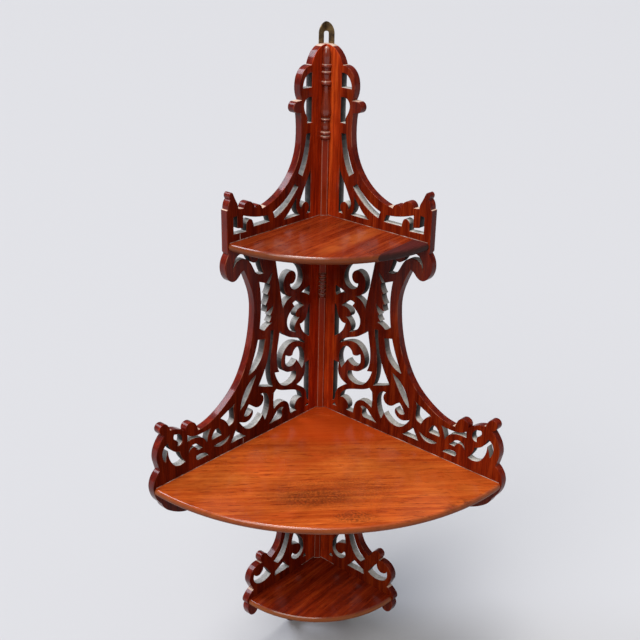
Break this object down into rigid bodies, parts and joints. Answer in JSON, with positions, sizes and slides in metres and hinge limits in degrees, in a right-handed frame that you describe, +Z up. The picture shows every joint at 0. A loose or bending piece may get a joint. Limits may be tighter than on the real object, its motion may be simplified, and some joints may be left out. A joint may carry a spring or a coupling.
{
  "type": "corner wall shelf",
  "caption": "Corner wall shelf with fret-sawn scrollwork side panels, quarter-round shelves in tiers, turned corner strips and a slotted brass hanging plate.",
  "frame": {"origin": "top of the hanging plate's slot, on the room-corner line where the backs of the two panels meet; a wall hook bears there", "axes": "+Z up along the room corner, -Y out of the corner into the room (front), +X to the right seen from the front"},
  "size_m": [0.4626, 0.3305, 0.9195],
  "materials": {
    "panel_wood": "polished red mahogany, worn at the edges",
    "shelf_wood": "polished orange-brown mahogany with streaky grain",
    "dark_wood": "dark dull replacement wood",
    "strip_wood": "polished red mahogany, turned",
    "aged_brass": "dull aged brass",
    "screw_steel": "dull steel",
    "nail_iron": "dark iron"
  },
  "bodies": {
    "root": {"left_inner_board": "panel_wood", "left_gallery_end": "panel_wood", "left_wing_board": "panel_wood", "right_inner_board": "panel_wood", "right_gallery_end": "panel_wood", "right_wing_board": "panel_wood", "top_shelf": "shelf_wood", "middle_shelf": "shelf_wood", "bottom_shelf": "shelf_wood", "top_shelf_tip": "dark_wood", "upper_corner_strip": "strip_wood", "middle_corner_strip": "strip_wood", "lower_corner_strip": "strip_wood", "hanger_plate": "aged_brass", "hanger_screws": "screw_steel", "corner_nails": "nail_iron", "top_shelf_nails": "nail_iron", "middle_shelf_nails": "nail_iron", "bottom_shelf_nails": "nail_iron"}
  },
  "joints": []
}
